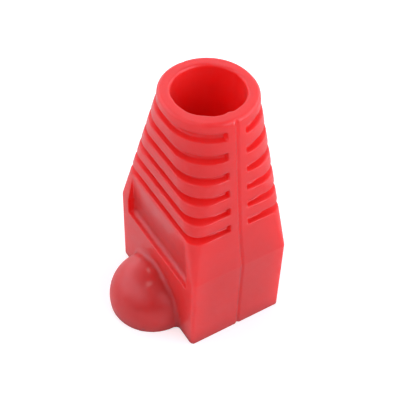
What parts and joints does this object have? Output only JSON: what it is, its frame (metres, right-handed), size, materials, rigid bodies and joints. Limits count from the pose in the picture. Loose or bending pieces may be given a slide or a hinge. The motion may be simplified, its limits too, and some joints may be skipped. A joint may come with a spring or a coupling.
{
  "type": "modular plug strain relief boot",
  "caption": "Soft red strain relief boot for a modular network plug, with a ribbed square-to-round cable sleeve and a bubble over the latch.",
  "frame": {"origin": "on the plug-end face, in the middle of the overall box", "axes": "+Z from the plug end up to the cable end along the bore, -Y towards the bubble that covers the latch, +X completes the right-handed set"},
  "size_m": [0.014, 0.015, 0.0255],
  "materials": {
    "soft_pvc": "satin moulded, slightly translucent"
  },
  "bodies": {
    "root": {"boot": "soft_pvc"}
  },
  "joints": []
}
